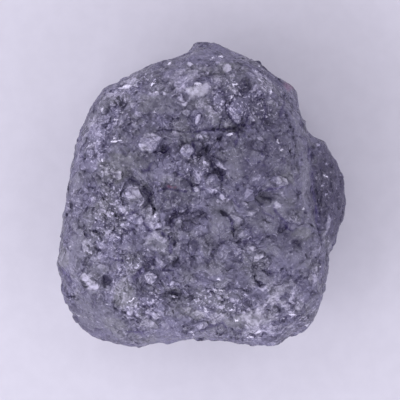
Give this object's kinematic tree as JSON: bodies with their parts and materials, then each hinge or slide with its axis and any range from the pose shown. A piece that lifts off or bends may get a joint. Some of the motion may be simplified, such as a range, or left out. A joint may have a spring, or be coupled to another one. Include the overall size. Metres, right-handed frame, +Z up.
{
  "type": "rough diamond",
  "caption": "Rough polycrystalline diamond: a blocky grey stone with a grainy crystal crust and a lower side shelf, resting flat on a cleavage face, for mineral displays.",
  "frame": {"origin": "centre of the bounding box in plan, on the flat cleavage face that the stone rests on", "axes": "+Z up from the resting face, +Y towards the pointed end of the widest outline (the longest extent), +X towards the lower side shelf"},
  "size_m": [0.0102, 0.0108, 0.007],
  "materials": {
    "diamond_crust": "rough polycrystalline, violet-grey with small glints"
  },
  "bodies": {
    "root": {"rough_diamond": "diamond_crust"}
  },
  "joints": []
}
